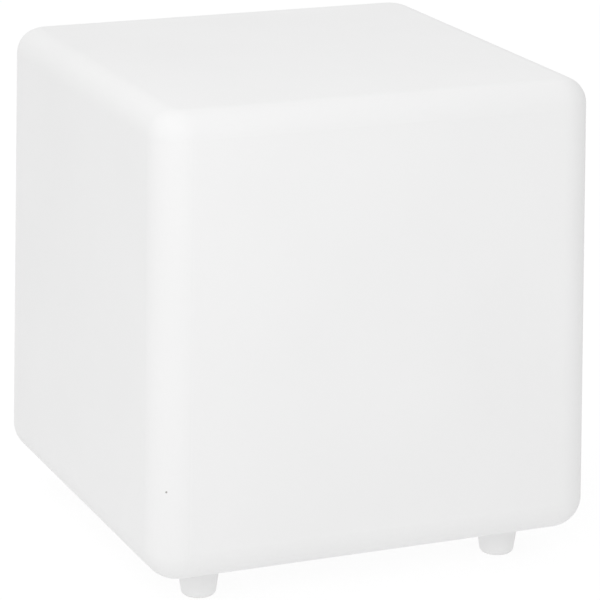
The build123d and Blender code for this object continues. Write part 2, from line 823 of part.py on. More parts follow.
def make_button(x, y):
    """A push button: its dished cap, its stem, and grooves for the seal and the clip."""
    cap_bottom = cover_bottom - button_proud
    cap = disc(button_radius, cap_bottom, cap_bottom + button_cap_height)
    cap = fillet(cap.edges().sort_by(Axis.Z)[0], button_rounding)
    dish_sphere = (button_dish_radius ** 2 + button_dish_depth ** 2) / (2 * button_dish_depth)
    cap -= Pos(0, 0, cap_bottom + button_dish_depth - dish_sphere) * Sphere(dish_sphere)
    button = cap + disc(button_stem_radius, cap_bottom + button_cap_height / 2, button_top)
    groove = seal_middle_radius() - seal_section_radius - seal_fit
    half = seal_section_radius + seal_fit
    button -= ring(button_stem_radius + slide_fit, groove, seal_level() - half, seal_level() + half)
    button -= ring(button_stem_radius + slide_fit, clip_inner_radius() - seal_fit,
                   clip_bottom, clip_bottom + clip_thickness)
    return Pos(x, y, 0) * button


def make_button_seal(x, y):
    """The round ring in a button's groove."""
    return Pos(x, y, seal_level()) * Torus(seal_middle_radius(), seal_section_radius)


def clip_inner_radius():
    """The inside of the clip that keeps a button in its guide."""
    return button_stem_radius - clip_groove_depth


def make_button_clip(x, y):
    """The open spring clip above a button's guide."""
    inner = clip_inner_radius()
    clip = ring(inner + clip_width, inner, clip_bottom, clip_bottom + clip_thickness)
    clip -= block(clip_opening, inner + clip_width, clip_bottom, clip_bottom + clip_thickness,
                  0, (inner + clip_width) / 2)
    return Pos(x, y, 0) * clip


# ---- The battery ----
def ear_places():
    """The middles of the holder's two ears."""
    y = holder_half_width + holder_ear_reach / 2
    return [(0.0, -y), (0.0, y)]


def clamp_top():
    """The height at which the clamp meets the ears."""
    return cell_bottom - side_gap


def contact_tail_bottom():
    """The lower end of the contacts' tails."""
    return cell_level - contact_height / 2 - contact_tail_length / 2


def make_cells():
    """The rechargeable cells, side by side along X, with their nubs towards +X."""
    cells = []
    for number in range(cell_count):
        y = cell_pitch * (number - (cell_count - 1) / 2)
        can = Cylinder(cell_radius, cell_length, align=STANDING)
        can = fillet(can.edges(), cell_edge_rounding)
        nub = disc(cell_nub_radius, cell_length / 2, cell_length + cell_nub_height)
        start = -(cell_length + cell_nub_height) / 2
        cells.append(Pos(start, y, cell_level) * Rot(0, QUARTER_TURN, 0) * (can + nub))
    return cells


def make_holder():
    """The tray under the roof that holds the cells from above, with two ears."""
    half_length = contact_face + contact_thickness
    outer_length = 2 * (half_length + holder_wall)
    low = roof_bottom - holder_depth
    tray = block(outer_length, 2 * holder_half_width, low, roof_bottom)
    tray -= block(2 * half_length, 2 * (holder_half_width - holder_side_wall),
                  low, roof_bottom - holder_wall)
    for x, y in ear_places():
        side = math.copysign(1, y)
        ear = block(holder_ear_width, holder_ear_reach + holder_side_wall, clamp_top(), roof_bottom,
                    x, y - side * holder_side_wall / 2)
        tray += ear
        depth = case_screw_length
        tray -= disc(case_screw_radius + screw_fit, clamp_top(), clamp_top() + depth, x, y)
        tray -= disc(case_screw_radius + screw_fit, roof_bottom - depth, roof_bottom, x, y)
    return tray


def make_holder_screws():
    """The screws from the roof's top down into the holder's ears."""
    one = Rot(180, 0, 0) * case_screw()
    level = roof_top - case_screw_head_height - head_gap
    return [Pos(x, y, level) * one for x, y in ear_places()]


def make_contacts():
    """The contact plate at each end of the cells, with the tail that its lead is soldered to."""
    plates = []
    width = 2 * (holder_half_width - holder_side_wall - side_gap)
    for side in (-1, 1):
        x = side * (contact_face + contact_thickness / 2)
        plate = block(contact_thickness, width, cell_level - contact_height / 2,
                      cell_level + contact_height / 2, x)
        tail = block(contact_thickness, contact_tail_width, contact_tail_bottom(), cell_level, x)
        plates.append(plate + tail)
    return plates


def make_clamp():
    """The bar under the cells, screwed to the holder's ears."""
    length = 2 * (holder_half_width + holder_ear_reach)
    low = clamp_top() - clamp_thickness
    bar = block(clamp_width, length, low, clamp_top())
    bar = fillet(bar.edges().filter_by(Axis.Z), clamp_width / 4)
    for x, y in ear_places():
        bar -= disc(case_screw_radius + screw_passage, low, clamp_top(), x, y)
    return bar


def make_clamp_screws():
    """The screws from below through the clamp into the ears."""
    level = clamp_top() - clamp_thickness
    return [Pos(x, y, level) * case_screw() for x, y in ear_places()]


def save(node, solids):
    """Write one node: a single solid, or several separate ones."""
    shapes = solids if isinstance(solids, list) else [solids]
    export_step(Compound(label=node, children=[shape.solid() for shape in shapes]),
                "parts/" + node + ".step")


def main():
    """Make every node and write it to its own file."""
    os.makedirs("parts", exist_ok=True)
    left, right = button_places()
    save("diffuser_shell", make_shell())
    save("threaded_inserts", make_inserts())
    save("flange_gasket", make_flange_gasket())
    save("base_cover", make_base_cover())
    save("flange_screws", make_flange_screws())
    save("vent_plug", make_vent())
    save("module_housing", make_housing())
    save("housing_gasket", make_groove_gasket(rim_groove_radius(), cover_top))
    save("housing_screws", make_housing_screws())
    save("heat_sink", make_lamp_plate(heat_sink_radius, roof_top, heat_sink_top))
    save("led_board", make_lamp_plate(lamp_board_radius, heat_sink_top, lamp_board_top))
    save("led_chips", make_diodes())
    save("led_board_screws", make_lamp_screws())
    save("ir_receiver", make_receiver())
    save("light_dome", make_dome())
    save("dome_gasket", make_groove_gasket(dome_groove_radius, roof_top - groove_depth))
    save("dome_screws", make_dome_screws())
    save("wire_grommet", make_grommet())
    save("led_leads", make_lamp_leads())
    save("led_connector", make_connector())
    save("battery_leads", make_battery_leads())
    save("control_board", make_control_board())
    save("control_board_screws", make_board_screws())
    save("controller_chip", make_controller_chip())
    save("smoothing_capacitor", make_capacitor())
    save("charge_inductor", make_inductor())
    save("tactile_switches", make_switches())
    save("charge_indicator", make_indicator())
    save("light_pipe", make_light_pipe())
    save("dc_jack", make_jack())
    save("jack_seal", make_jack_seal())
    save("port_flap", make_flap())
    save("flap_anchor", make_anchor())
    save("power_button", make_button(*left))
    save("power_button_seal", make_button_seal(*left))
    save("power_button_clip", make_button_clip(*left))
    save("mode_button", make_button(*right))
    save("mode_button_seal", make_button_seal(*right))
    save("mode_button_clip", make_button_clip(*right))
    save("battery_cells", make_cells())
    save("battery_holder", make_holder())
    save("battery_holder_screws", make_holder_screws())
    save("battery_contacts", make_contacts())
    save("battery_clamp", make_clamp())
    save("battery_clamp_screws", make_clamp_screws())


main()
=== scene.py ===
import json
import math

import bmesh
import bpy
from mathutils import Matrix, Vector


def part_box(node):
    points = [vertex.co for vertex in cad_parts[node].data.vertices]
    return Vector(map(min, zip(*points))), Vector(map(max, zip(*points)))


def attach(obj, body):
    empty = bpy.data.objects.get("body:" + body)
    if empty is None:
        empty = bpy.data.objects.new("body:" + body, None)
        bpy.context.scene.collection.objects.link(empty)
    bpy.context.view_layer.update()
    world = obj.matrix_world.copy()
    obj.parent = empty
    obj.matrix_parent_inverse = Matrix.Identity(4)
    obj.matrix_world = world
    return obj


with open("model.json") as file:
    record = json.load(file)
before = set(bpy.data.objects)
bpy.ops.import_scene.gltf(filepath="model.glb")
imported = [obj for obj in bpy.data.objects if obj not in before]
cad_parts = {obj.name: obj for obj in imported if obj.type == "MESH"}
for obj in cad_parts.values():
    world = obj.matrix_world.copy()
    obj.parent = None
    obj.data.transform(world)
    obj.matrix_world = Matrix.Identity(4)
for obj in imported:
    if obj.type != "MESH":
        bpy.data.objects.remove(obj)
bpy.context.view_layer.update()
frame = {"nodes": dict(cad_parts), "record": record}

# ---- The photograph's camera: metres and degrees, and millimetres for the sensor ----
CAMERA_PLACE = (-1.0271, -2.4471, 0.9853)
CAMERA_YAW = 22.952
CAMERA_PITCH = 16.408
CAMERA_ROLL = 0.70
CAMERA_REACH = 50.0
FOCAL_PIXELS = 3156.7
PHOTO_PIXELS = 600.0
SENSOR_WIDTH = 36.0

# ---- Light: a white surround, brightest above, and one soft lamp from the front left ----
SURROUND_LOWEST = 0.522
SURROUND_BRIGHTEST = 1.142
TOWARDS_BRIGHTEST = (-0.30, 0.17, 0.94)
LAMP_AIM = (0.0, 0.0, 0.23)
LAMP_PLACE = (-0.43, -1.21, 0.81)
LAMP_SIZE = 0.8
LAMP_WATTS = 3.22
FLOOR_SIZE = 12.0
FLOOR_CELLS = 4
FLOOR_ROUGHNESS = 0.9
FLOOR_COLOUR = 0.20
FLOOR_GLOW = 0.72
FLOOR_SEEN_COLOUR = 0.22
FLOOR_SEEN_GLOW = 0.81

# ---- Details that the solids leave to this script, in metres and degrees ----
SPECK_PLACE = (-0.1875, -0.1921, 0.1140)
SPECK_RADIUS = 0.0010
SPECK_EDGE = 1.6 * SPECK_RADIUS
SCUFF_HEIGHT = 0.0035
SCUFF_ROUGHNESS = 0.85
DISH_DEPTH = 0.0005
DISH_RADIUS = 0.0042
ICON_RADIUS = 0.0019
ICON_LINE = 0.0005
ICON_RISE = 0.00018
POWER_GAP = 38.0  # how far the ring is open on either side of the bar
POWER_BAR_OUTER = 1.25 * ICON_RADIUS
POWER_BAR_INNER = 0.25 * ICON_RADIUS
SUN_RAYS = 8
SUN_RAY_INNER = 0.78 * ICON_RADIUS
SUN_RAY_OUTER = 1.15 * ICON_RADIUS
SUN_RAY_LINE = 0.7 * ICON_LINE
SUN_RING_RADIUS = 0.42 * ICON_RADIUS
SUN_RING_LINE = 0.8 * ICON_LINE
SUN_RING_TURN = 0.999 * math.tau  # all but closed
BAR_END_STEPS = 8
ARC_STEPS = 40
RIB_COUNT = 3
RIB_PITCH = 0.0016
RIB_WIDTH = 0.0007
RIB_HEIGHT = 0.0004
RIB_LENGTH = 0.011
VENT_RIDGES = 10
VENT_RIDGE_INNER = 0.0019
VENT_RIDGE_OUTER = 0.0041
VENT_RIDGE_WIDTH = 0.0006
VENT_RIDGE_RISE = 0.0002
VENT_HUB_RADIUS = 0.0012
VENT_HUB_SIDES = 24
LEG_COUNT = 8
LEG_PITCH = 0.00127
LEG_WIDTH = 0.00042
LEG_THICKNESS = 0.00022
LEG_SHOULDER = 0.0003
LEG_ANKLE = 0.0005
LEG_TOE = 0.0013
RESISTOR_LENGTH = 0.0020
RESISTOR_WIDTH = 0.00125
RESISTOR_HEIGHT = 0.00055
RESISTOR_END = 0.0004
RESISTOR_END_STEP = 0.00004
# Rows of resistors on the control board: the first one's middle, the step to the next one, how many
RESISTOR_ROWS = (
    ((-0.0210, 0.0150), (0.0030, 0.0), 4),
    ((-0.0215, 0.0010), (0.0030, 0.0), 5),
    ((-0.0055, 0.0030), (0.0, 0.0024), 5),
    ((-0.0110, -0.0175), (0.0, 0.0024), 4),
    ((0.0110, -0.0175), (0.0, 0.0024), 5),
    ((0.0040, 0.0120), (0.0030, 0.0), 4),
)
PHOSPHOR_RADIUS = 0.0020
PHOSPHOR_RISE = 0.0002
PHOSPHOR_SINK = 0.00005
PHOSPHOR_RINGS = 4
PHOSPHOR_SIDES = 28
WELD_DISTANCE = 0.00001
ORDER_DIGITS = 5

# ---- Patterns in the materials, in metres unless said otherwise ----
NOISE_MARGIN = 0.3  # noise factors lie mostly between this and 1 minus this
GLOSS_SWING = 0.1  # share by which a moulded surface's roughness varies
COVER_RINGS = 420.0  # radians per metre
COVER_RING_SHARE = 0.10
FACED_RINGS = 9000.0  # radians per metre
TURNED_PITCH = 0.00018
TURNED_SMOOTHEST = 0.8  # shares of a turned metal's roughness
TURNED_ROUGHEST = 1.3
STAIN_MARGIN = 0.2  # the noise margin for a turned metal's stains, whose edges are softer
TRACK_PITCH = 0.0014
TRACK_HALF_WIDTH = 0.17  # share of the tracks' pitch
TRACK_PATCH = 0.0085
PAD_SCALE = 260.0  # pads per metre
PAD_RADIUS = 0.17  # share of the pads' spacing
JACK_PIN_RADIUS = 0.00115
CELL_CAP = 0.0009
CELL_SLEEVE_FADE = (0.0006, 0.0004)  # before the cap: where the sleeve starts to end, and has ended
CELL_WRINKLE_SCALE = (40.0, 420.0, 420.0)  # wrinkles per metre along x, y and z
# Half the width of the lines of painted shade along the capacitor's score grooves
CAPACITOR_SCORE_SHADE_HALF_WIDTH = 0.00015
CAPACITOR_SLEEVE_FADE = (0.0005, 0.0004)  # the same, below the capacitor's top
CAPACITOR_STRIPE_FADE = (0.0034, 0.0035)  # right of its middle: where the stripe starts, and is full

# ---- Colours: one grey, or linear red, green and blue ----
WHITE = 1.0
POLYETHYLENE_DARKEST = 0.876
POLYETHYLENE_PALEST = 0.889
POLYETHYLENE_WORN = (0.76, 0.75, 0.735)
SPECK_COLOUR = (0.34, 0.33, 0.32)
CLEAR_COLOUR = (0.92, 0.94, 0.95)
MILKY_COLOUR = (0.80, 0.82, 0.83)
COVER_COLOUR = (0.70, 0.70, 0.69)
BUTTON_GREY = (0.30, 0.31, 0.32)
PRINT_COLOUR = (0.80, 0.80, 0.80)
PLASTIC_BLACK = (0.030, 0.030, 0.032)
VENT_BLACK = (0.075, 0.076, 0.078)
RUBBER_BLACK = (0.035, 0.035, 0.036)
BRASS = (0.72, 0.53, 0.26)
STAINLESS = (0.60, 0.60, 0.59)
BARE_STEEL = (0.62, 0.62, 0.61)
BARE_ALUMINIUM = (0.74, 0.75, 0.76)
SCORE_PAINTED_SHADE = (0.30, 0.30, 0.31)
# Painted shade: a darker aluminium for the capacitor's score grooves, which are not cut into its top
NICKEL = (0.66, 0.64, 0.58)
WHITE_MASK = (0.80, 0.80, 0.78)
WHITE_TRACK = (0.74, 0.74, 0.72)
GILDED_PAD = (0.70, 0.62, 0.45)
GREEN_MASK = (0.012, 0.10, 0.045)
GREEN_TRACK = (0.03, 0.19, 0.08)
TINNED_PAD = (0.66, 0.64, 0.60)
DIODE_FRAME = (0.80, 0.78, 0.70)
PHOSPHOR_YELLOW = (0.83, 0.62, 0.12)
CAPACITOR_SLEEVE = (0.02, 0.03, 0.10)
CAPACITOR_STRIPE = (0.42, 0.45, 0.50)
CELL_SLEEVE = (0.03, 0.16, 0.38)
LEAD_BLACK = (0.025, 0.025, 0.027)
LEAD_RED = (0.42, 0.02, 0.02)

# Sockets of the Mix node when it mixes colours
MIX_FACTOR = 0
MIX_FIRST = 6
MIX_SECOND = 7
MIX_RESULT = 2


# ---- Small helpers for node materials ----
def rgb(colour):
    """Three channels, from one grey or from three numbers."""
    return colour if isinstance(colour, tuple) else (colour,) * 3


class Recipe:
    """A node material under construction: its nodes, its shader and short ways to add to them."""

    def __init__(self, name):
        self.material = bpy.data.materials.new(name)
        self.material.use_nodes = True
        self.nodes = self.material.node_tree.nodes
        self.links = self.material.node_tree.links
        self.shader = self.nodes["Principled BSDF"]
        self.place = self.nodes.new("ShaderNodeTexCoord").outputs["Object"]

    def feed(self, value, socket):
        """Links a socket to an input, or writes a number or a colour on it."""
        if isinstance(value, bpy.types.NodeSocket):
            self.links.new(value, socket)
        elif socket.type == "RGBA":
            socket.default_value = (*rgb(value), 1.0)
        else:
            socket.default_value = value

    def set(self, **values):
        """Feeds the shader's inputs; an underscore stands for a space."""
        for name, value in values.items():
            self.feed(value, self.shader.inputs[name.replace("_", " ")])

    def calc(self, operation, first, second=0.0):
        """One step of arithmetic."""
        node = self.nodes.new("ShaderNodeMath")
        node.operation = operation
        self.feed(first, node.inputs[0])
        self.feed(second, node.inputs[1])
        return node.outputs["Value"]

    def vector(self, operation, first, second=(0.0, 0.0, 0.0), output="Vector"):
        """One step of vector arithmetic."""
        node = self.nodes.new("ShaderNodeVectorMath")
        node.operation = operation
        self.feed(first, node.inputs[0])
        self.feed(second, node.inputs[1])
        return node.outputs[output]

    def part(self, axis):
        """One coordinate of the place: X, Y or Z."""
        node = self.nodes.new("ShaderNodeSeparateXYZ")
        self.links.new(self.place, node.inputs["Vector"])
        return node.outputs[axis]

    def from_axis(self, centre):
        """The distance from an upright line through a point."""
        away = self.vector("SUBTRACT", self.place, tuple(centre))
        return self.vector("LENGTH", self.vector("MULTIPLY", away, (1.0, 1.0, 0.0)), output="Value")

    def fade(self, value, start, end):
        """0 up to the start value, 1 from the end value on, smooth in between."""
        node = self.nodes.new("ShaderNodeMapRange")
        node.interpolation_type = "SMOOTHSTEP"
        self.feed(value, node.inputs["Value"])
        node.inputs["From Min"].default_value = start
        node.inputs["From Max"].default_value = end
        return node.outputs["Result"]

    def noise(self, scale, detail=3.0, place=None):
        """A noise texture's factor; the scale is about how many blotches lie along a metre."""
        node = self.nodes.new("ShaderNodeTexNoise")
        node.inputs["Scale"].default_value = scale
        node.inputs["Detail"].default_value = detail
        self.links.new(place or self.place, node.inputs["Vector"])
        return node.outputs["Fac"]

    def spread(self, factor, low, high, margin=NOISE_MARGIN):
        """A grey or a colour that goes from low to high, as the factor goes from margin to margin."""
        node = self.nodes.new("ShaderNodeValToRGB")
        stops = zip(node.color_ramp.elements, (margin, 1.0 - margin), (low, high))
        for element, position, colour in stops:
            element.position = position
            element.color = (*rgb(colour), 1.0)
        self.links.new(factor, node.inputs["Fac"])
        return node.outputs["Color"]

    def vary(self, factor, colour, amount):
        """A colour that the factor makes a little darker and lighter."""
        low = tuple(channel * (1.0 - amount) for channel in rgb(colour))
        high = tuple(min(1.0, channel * (1.0 + amount)) for channel in rgb(colour))
        return self.spread(factor, low, high)

    def mix(self, factor, first, second):
        """The first colour where the factor is 0 and the second where it is 1."""
        node = self.nodes.new("ShaderNodeMix")
        node.data_type = "RGBA"
        self.feed(factor, node.inputs[MIX_FACTOR])
        self.feed(first, node.inputs[MIX_FIRST])
        self.feed(second, node.inputs[MIX_SECOND])
        return node.outputs[MIX_RESULT]

    def bump(self, height, depth, strength, under=None):
        """A bump of the given depth in metres, on top of another one if given."""
        node = self.nodes.new("ShaderNodeBump")
        node.inputs["Distance"].default_value = depth
        node.inputs["Strength"].default_value = strength
        self.links.new(height, node.inputs["Height"])
        if under is not None:
            self.links.new(under, node.inputs["Normal"])
        return node.outputs["Normal"]


def centre_of(node):
    """The middle of a node's box."""
    low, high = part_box(node)
    return (low + high) / 2


# ---- Materials by slot ----
def polyethylene():
    """Rotation-moulded polyethylene: satin, faintly clouded and grained, dulled at the foot tips."""
    made = Recipe("white_polyethylene")
    cloud = made.spread(made.noise(scale=9.0, detail=4.0), POLYETHYLENE_DARKEST, POLYETHYLENE_PALEST)
    near_ground = made.calc("SUBTRACT", 1.0, made.fade(made.part("Z"), 0.0, SCUFF_HEIGHT))
    patches = made.fade(made.noise(scale=650.0, detail=8.0), start=0.25, end=0.80)
    scuff = made.calc("MULTIPLY", near_ground, patches)
    worn = made.mix(scuff, cloud, POLYETHYLENE_WORN)
    from_speck = made.vector("DISTANCE", made.place, SPECK_PLACE, output="Value")
    ragged = made.calc("ADD", from_speck, made.calc("MULTIPLY", made.noise(scale=1500.0), SPECK_RADIUS))
    speck = made.calc("SUBTRACT", 1.0, made.fade(ragged, SPECK_RADIUS, SPECK_EDGE))
    gloss = made.spread(made.noise(scale=38.0, detail=5.0), low=0.60, high=0.70)
    swell = made.bump(made.noise(scale=14.0, detail=2.0), depth=0.0006, strength=0.35)
    grain = made.bump(made.noise(scale=620.0), depth=0.00008, strength=0.5, under=swell)
    pores = made.bump(made.noise(scale=170.0, detail=1.0), depth=0.00005, strength=0.5, under=grain)
    made.set(Base_Color=made.mix(speck, worn, SPECK_COLOUR),
             Roughness=made.mix(scuff, gloss, SCUFF_ROUGHNESS),
             IOR=1.5, Specular_IOR_Level=0.28, Normal=pores)
    return made.material


def clear_plastic():
    """Clear moulded plastic with faint flow marks."""
    made = Recipe("clear_plastic")
    flow = made.noise(scale=45.0, detail=4.0)
    made.set(Base_Color=made.vary(flow, CLEAR_COLOUR, amount=0.01),
             Transmission_Weight=1.0, IOR=1.49,
             Roughness=made.spread(flow, low=0.03, high=0.09),
             Normal=made.bump(flow, depth=0.0001, strength=0.3))
    return made.material


def milky_plastic():
    """Milky plastic that hides what is behind it: pale, softly clouded and satin."""
    made = Recipe("milky_plastic")
    cloud = made.noise(scale=420.0)
    made.set(Base_Color=made.vary(cloud, MILKY_COLOUR, amount=0.03),
             Roughness=made.spread(cloud, low=0.24, high=0.32),
             Normal=made.bump(made.noise(scale=1800.0), depth=0.00002, strength=0.4))
    return made.material


def moulded(name, colour, roughness, grain=900.0, depth=0.00004, mottle=0.03, specular=0.5):
    """A moulded plastic or rubber: fine grain, and slight changes of tone and gloss."""
    made = Recipe(name)
    smoothest = roughness * (1.0 - GLOSS_SWING)
    roughest = min(1.0, roughness * (1.0 + GLOSS_SWING))
    made.set(Base_Color=made.vary(made.noise(scale=22.0, detail=4.0), colour, mottle),
             Roughness=made.spread(made.noise(scale=60.0, detail=5.0), smoothest, roughest),
             Normal=made.bump(made.noise(grain, detail=2.0), depth, strength=0.6),
             Specular_IOR_Level=specular)
    return made.material


def cover_plastic():
    """The cover's plastic: spark-eroded grain over faint flow rings round its middle."""
    made = Recipe("pale_abs")
    rings = made.calc("SINE", made.calc("MULTIPLY", made.from_axis(Vector()), COVER_RINGS))
    blotches = made.noise(scale=26.0, detail=4.0)
    flow = made.calc("ADD", made.calc("MULTIPLY", rings, COVER_RING_SHARE), blotches)
    grain = made.bump(made.noise(scale=1500.0, detail=2.0), depth=0.00006, strength=0.7)
    made.set(Base_Color=made.vary(flow, COVER_COLOUR, amount=0.035),
             Roughness=made.spread(made.noise(scale=70.0, detail=5.0), low=0.46, high=0.56),
             Normal=made.bump(made.noise(scale=480.0), depth=0.00004, strength=0.5, under=grain),
             Specular_IOR_Level=0.45)
    return made.material


def turned_metal(name, colour, roughness, pitch=TURNED_PITCH):
    """A metal with fine turning marks along the upright axis and small stains."""
    made = Recipe(name)
    marks = made.calc("SINE", made.calc("MULTIPLY", made.part("Z"), math.tau / pitch))
    stains = made.noise(scale=320.0, detail=4.0)
    smoothest = roughness * TURNED_SMOOTHEST
    roughest = roughness * TURNED_ROUGHEST
    made.set(Base_Color=made.vary(stains, colour, amount=0.07), Metallic=1.0,
             Roughness=made.spread(stains, smoothest, roughest, STAIN_MARGIN),
             Normal=made.bump(made.calc("ADD", marks, stains), depth=0.00001, strength=0.5))
    return made.material


def milled_aluminium():
    """Aluminium faced on a lathe: rings round the middle, with a thin haze."""
    made = Recipe("aluminium")
    rings = made.calc("SINE", made.calc("MULTIPLY", made.from_axis(Vector()), FACED_RINGS))
    haze = made.noise(scale=90.0, detail=5.0)
    made.set(Base_Color=made.vary(haze, BARE_ALUMINIUM, amount=0.04), Metallic=1.0,
             Roughness=made.spread(haze, low=0.30, high=0.42),
             Normal=made.bump(rings, depth=0.00002, strength=0.5))
    return made.material


def circuit_board(name, mask, track, pad):
    """A printed board: tracks that run one way or the other patch by patch, and small pads."""
    made = Recipe(name)
    chooser = made.nodes.new("ShaderNodeTexWhiteNoise")
    patches = made.vector("FLOOR", made.vector("MULTIPLY", made.place, (1.0 / TRACK_PATCH,) * 3))
    made.feed(patches, chooser.inputs["Vector"])
    turned = made.calc("GREATER_THAN", chooser.outputs["Value"], 0.5)
    lines = []
    for axis in "XY":
        wave = made.calc("FRACT", made.calc("MULTIPLY", made.part(axis), 1.0 / TRACK_PITCH))
        from_middle = made.calc("ABSOLUTE", made.calc("SUBTRACT", wave, 0.5))
        lines.append(made.calc("LESS_THAN", from_middle, TRACK_HALF_WIDTH))
    tracks = made.mix(turned, *lines)
    spots = made.nodes.new("ShaderNodeTexVoronoi")
    spots.inputs["Scale"].default_value = PAD_SCALE
    made.links.new(made.place, spots.inputs["Vector"])
    pads = made.calc("LESS_THAN", spots.outputs["Distance"], PAD_RADIUS)
    printed = made.mix(tracks, made.vary(made.noise(scale=60.0), mask, amount=0.08), track)
    made.set(Base_Color=made.mix(pads, printed, pad), Metallic=pads,
             Roughness=made.spread(made.noise(scale=120.0), low=0.26, high=0.36),
             Normal=made.bump(made.calc("MAXIMUM", tracks, pads), depth=0.00004, strength=0.7))
    return made.material


# ---- Materials for single nodes ----
def cell_sleeve():
    """The cells: a shrink sleeve with fine wrinkles, and bare steel at both ends."""
    made = Recipe("cell_sleeve")
    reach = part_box("battery_cells")[1].x - CELL_CAP
    ends = [reach - back for back in CELL_SLEEVE_FADE]
    bare = made.fade(made.calc("ABSOLUTE", made.part("X")), *ends)
    stretched = made.vector("MULTIPLY", made.place, CELL_WRINKLE_SCALE)
    wrinkle = made.noise(scale=1.0, detail=4.0, place=stretched)
    sleeve = made.vary(wrinkle, CELL_SLEEVE, amount=0.10)
    made.set(Base_Color=made.mix(bare, sleeve, BARE_STEEL), Metallic=bare,
             Roughness=made.spread(wrinkle, low=0.26, high=0.38),
             Normal=made.bump(wrinkle, depth=0.00005, strength=0.5))
    return made.material


def capacitor_sleeve():
    """The capacitor: a dark sleeve with a pale stripe down one side, and a bare aluminium top with
    painted shade along its score lines, which are not cut into it.
    """
    made = Recipe("capacitor_sleeve")
    middle = centre_of("smoothing_capacitor")
    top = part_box("smoothing_capacitor")[1].z
    stripe = made.fade(made.part("X"), *[middle.x + out for out in CAPACITOR_STRIPE_FADE])
    bare = made.fade(made.part("Z"), *[top - down for down in CAPACITOR_SLEEVE_FADE])
    grain = made.noise(scale=500.0, detail=4.0)
    sleeve = made.mix(stripe, made.vary(grain, CAPACITOR_SLEEVE, amount=0.12), CAPACITOR_STRIPE)
    off_x = made.calc("ABSOLUTE", made.calc("SUBTRACT", made.part("X"), middle.x))
    off_y = made.calc("ABSOLUTE", made.calc("SUBTRACT", made.part("Y"), middle.y))
    # Painted shade: darker aluminium along the score lines on the top, standing in for the shade inside
    # the grooves
    score_shade = made.calc("LESS_THAN", made.calc("MINIMUM", off_x, off_y), CAPACITOR_SCORE_SHADE_HALF_WIDTH)
    can = made.mix(score_shade, BARE_ALUMINIUM, SCORE_PAINTED_SHADE)
    made.set(Base_Color=made.mix(bare, sleeve, can), Metallic=bare,
             Roughness=made.spread(grain, low=0.25, high=0.38),
             Normal=made.bump(grain, depth=0.00003, strength=0.4))
    return made.material


def lead_pair(name, node):
    """A pair of leads: black on the left and red on the right, with a faint extruded sheen."""
    made = Recipe(name)
    right = made.calc("GREATER_THAN", made.part("X"), centre_of(node).x)
    streak = made.noise(scale=700.0)
    black = made.vary(streak, LEAD_BLACK, amount=0.15)
    red = made.vary(streak, LEAD_RED, amount=0.10)
    made.set(Base_Color=made.mix(right, black, red),
             Roughness=made.spread(streak, low=0.38, high=0.50),
             Normal=made.bump(streak, depth=0.00003, strength=0.4))
    return made.material


def socket_plastic():
    """The charging socket: grained black plastic round a nickel-plated pin."""
    made = Recipe("socket_plastic")
    pin = made.calc("LESS_THAN", made.from_axis(centre_of("dc_jack")), JACK_PIN_RADIUS)
    grain = made.noise(scale=900.0)
    plastic = made.vary(grain, PLASTIC_BLACK, amount=0.10)
    made.set(Base_Color=made.mix(pin, plastic, NICKEL), Metallic=pin,
             Roughness=made.spread(grain, low=0.36, high=0.48),
             Normal=made.bump(grain, depth=0.00003, strength=0.5))
    return made.material


MATERIALS = {
    "white_polyethylene": polyethylene(),
    "clear_plastic": clear_plastic(),
    "pale_abs": cover_plastic(),
    "grey_button": moulded("grey_button", BUTTON_GREY, roughness=0.38, grain=1200.0, depth=0.00002),
    "black_plastic": moulded("black_plastic", PLASTIC_BLACK, roughness=0.45),
    "rubber": moulded("rubber", RUBBER_BLACK, roughness=0.75, grain=1400.0, specular=0.3),
    "brass": turned_metal("brass", BRASS, roughness=0.30, pitch=0.0006),
    "stainless": turned_metal("stainless", STAINLESS, roughness=0.28),
    "aluminium": milled_aluminium(),
    "white_board": circuit_board("white_board", WHITE_MASK, WHITE_TRACK, GILDED_PAD),
    "green_board": circuit_board("green_board", GREEN_MASK, GREEN_TRACK, TINNED_PAD),
    "diode": moulded("diode", DIODE_FRAME, roughness=0.40, grain=1500.0),
    "capacitor_sleeve": capacitor_sleeve(),
    "cell_sleeve": cell_sleeve(),
    "lead_insulation": lead_pair("lead_insulation", "led_leads"),
}
NODE_MATERIALS = {
    "battery_leads": lead_pair("battery_lead_insulation", "battery_leads"),
    "dc_jack": socket_plastic(),
    "light_pipe": milky_plastic(),
    "vent_plug": moulded("vent_plastic", VENT_BLACK, roughness=0.50, grain=1300.0),
}
PHOSPHOR = moulded("phosphor", PHOSPHOR_YELLOW, roughness=0.55, grain=2500.0, mottle=0.06)
ICON_PRINT = moulded("icon_print", PRINT_COLOUR, roughness=0.42, grain=1600.0, depth=0.00002)


def dress_nodes():
    """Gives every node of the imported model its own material, or that of its slot in the record."""
    for entry in frame["record"]["subparts"]:
        material = NODE_MATERIALS.get(entry["node"], MATERIALS[entry["material_slot"]])
        node = frame["nodes"][entry["node"]]
        node.data.materials.clear()
        node.data.materials.append(material)


# ---- Small pieces on the solids ----
def add_piece(name, mesh, material, body):
    """Makes a piece of a finished mesh: it rides on a body and takes the given material."""
    bmesh.ops.recalc_face_normals(mesh, faces=mesh.faces)
    data = bpy.data.meshes.new(name)
    mesh.to_mesh(data)
    mesh.free()
    data.materials.append(material)
    piece = bpy.data.objects.new(name, data)
    bpy.context.scene.collection.objects.link(piece)
    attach(piece, body)


def add_wall(mesh, lower, upper):
    """A closed strip of faces between two loops of as many vertices."""
    for i in range(len(lower)):
        j = (i + 1) % len(lower)
        mesh.faces.new((lower[i], lower[j], upper[j], upper[i]))


def add_solid(mesh, first, last):
    """A closed solid between two loops of as many points."""
    start = [mesh.verts.new(point) for point in first]
    end = [mesh.verts.new(point) for point in last]
    mesh.faces.new(start)
    mesh.faces.new(end)
    add_wall(mesh, start, end)


